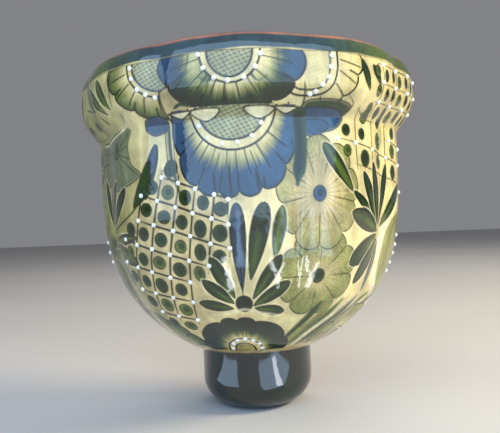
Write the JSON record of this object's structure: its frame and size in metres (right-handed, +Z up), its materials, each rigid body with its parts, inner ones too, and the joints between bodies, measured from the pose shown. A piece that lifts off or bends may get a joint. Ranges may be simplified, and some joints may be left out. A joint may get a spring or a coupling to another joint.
{
  "type": "wall planter",
  "caption": "Half-round glazed earthenware wall planter with a lobed front, rolled rim, raised slip dots, flat back with a hanging hole, and a hollow rounded foot with a drain.",
  "frame": {"origin": "centre of the hanging hole on the flat back face", "axes": "+Z up, +Y out of the flat back towards the wall, lobed front towards -Y, +X to the right seen from the front"},
  "size_m": [0.2966, 0.1654, 0.295],
  "materials": {
    "painted_glaze": "glossy glaze painted in cream, yellow-green and dark green with near-black outlines",
    "green_glaze": "solid glossy dark green glaze",
    "bare_clay": "unglazed matt terracotta",
    "raised_slip": "white slip under a clear glossy glaze"
  },
  "bodies": {
    "root": {"bowl_shell": "painted_glaze", "rim_collar": "painted_glaze", "foot_knob": "green_glaze", "back_slab": "bare_clay", "rim_centre_beads": "raised_slip", "rim_left_beads": "raised_slip", "rim_right_beads": "raised_slip", "rim_lattice_beads": "raised_slip", "front_flower_beads": "raised_slip", "left_lattice_beads": "raised_slip", "right_lattice_beads": "raised_slip", "foot_flower_beads": "raised_slip", "left_side_beads": "raised_slip", "right_side_beads": "raised_slip"}
  },
  "joints": []
}
